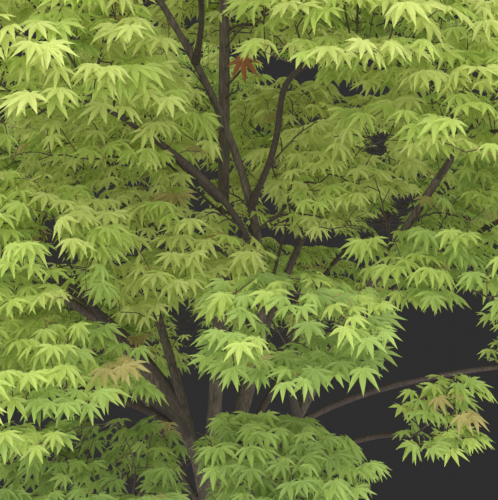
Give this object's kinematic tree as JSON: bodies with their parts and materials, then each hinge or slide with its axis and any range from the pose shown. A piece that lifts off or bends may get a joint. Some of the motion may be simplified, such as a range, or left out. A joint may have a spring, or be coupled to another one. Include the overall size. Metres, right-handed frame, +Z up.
{
  "type": "japanese maple tree",
  "caption": "Small multi-stemmed japanese maple in leaf: short flared trunk, slender spreading stems and boughs, layered drooping masses of palmate lime-green leaves.",
  "frame": {"origin": "centre of the flat cut under the trunk, at ground level", "axes": "+Z up along the trunk, -Y towards the front, from which the picture looks, and +X to the front view's right"},
  "size_m": [2.2626, 2.0583, 2.2971],
  "materials": {
    "bark": "rough dark brown-grey bark with fine lengthwise fissures",
    "leaf": "soft matte lime-green leaf, a little translucent"
  },
  "bodies": {
    "root": {"trunk": "bark", "stem-leader": "bark", "stem-left": "bark", "stem-crossing": "bark", "stem-right": "bark", "stem-back-left": "bark", "stem-back-right": "bark", "bough-high-right": "bark", "bough-upper-front": "bark", "bough-upper-left": "bark", "bough-right": "bark", "bough-back-right": "bark", "bough-back": "bark", "bough-back-left": "bark", "bough-low-back-right": "bark", "bough-low-back": "bark", "bough-low-back-left": "bark", "bough-low-left": "bark", "bough-near-left": "bark", "bough-middle-left": "bark", "bough-low-front-left": "bark", "bough-foot-front-left": "bark", "bough-near-right": "bark", "bough-front": "bark", "bough-low-front": "bark", "bough-low-right": "bark", "leaves-top": "leaf", "leaves-high-left": "leaf", "leaves-high-right": "leaf", "leaves-high-back": "leaf", "leaves-upper-front": "leaf", "leaves-upper-right": "leaf", "leaves-upper-back-right": "leaf", "leaves-upper-back-left": "leaf", "leaves-upper-left": "leaf", "leaves-right": "leaf", "leaves-back-right": "leaf", "leaves-back": "leaf", "leaves-back-left": "leaf", "leaves-left": "leaf", "leaves-low-back-right": "leaf", "leaves-low-back": "leaf", "leaves-low-back-left": "leaf", "leaves-low-left": "leaf", "leaves-near-left": "leaf", "leaves-upper-inner-left": "leaf", "leaves-middle-left": "leaf", "leaves-low-front-left": "leaf", "leaves-foot-front-left": "leaf", "leaves-near-right": "leaf", "leaves-upper-front-right": "leaf", "leaves-middle-right": "leaf", "leaves-front": "leaf", "leaves-low-front": "leaf", "leaves-low-right": "leaf", "leaves-inner-left": "leaf", "leaves-inner-right": "leaf", "leaves-inner-back": "leaf", "leaves-inner-high": "leaf", "leaves-inner-back-left": "leaf"}
  },
  "joints": []
}
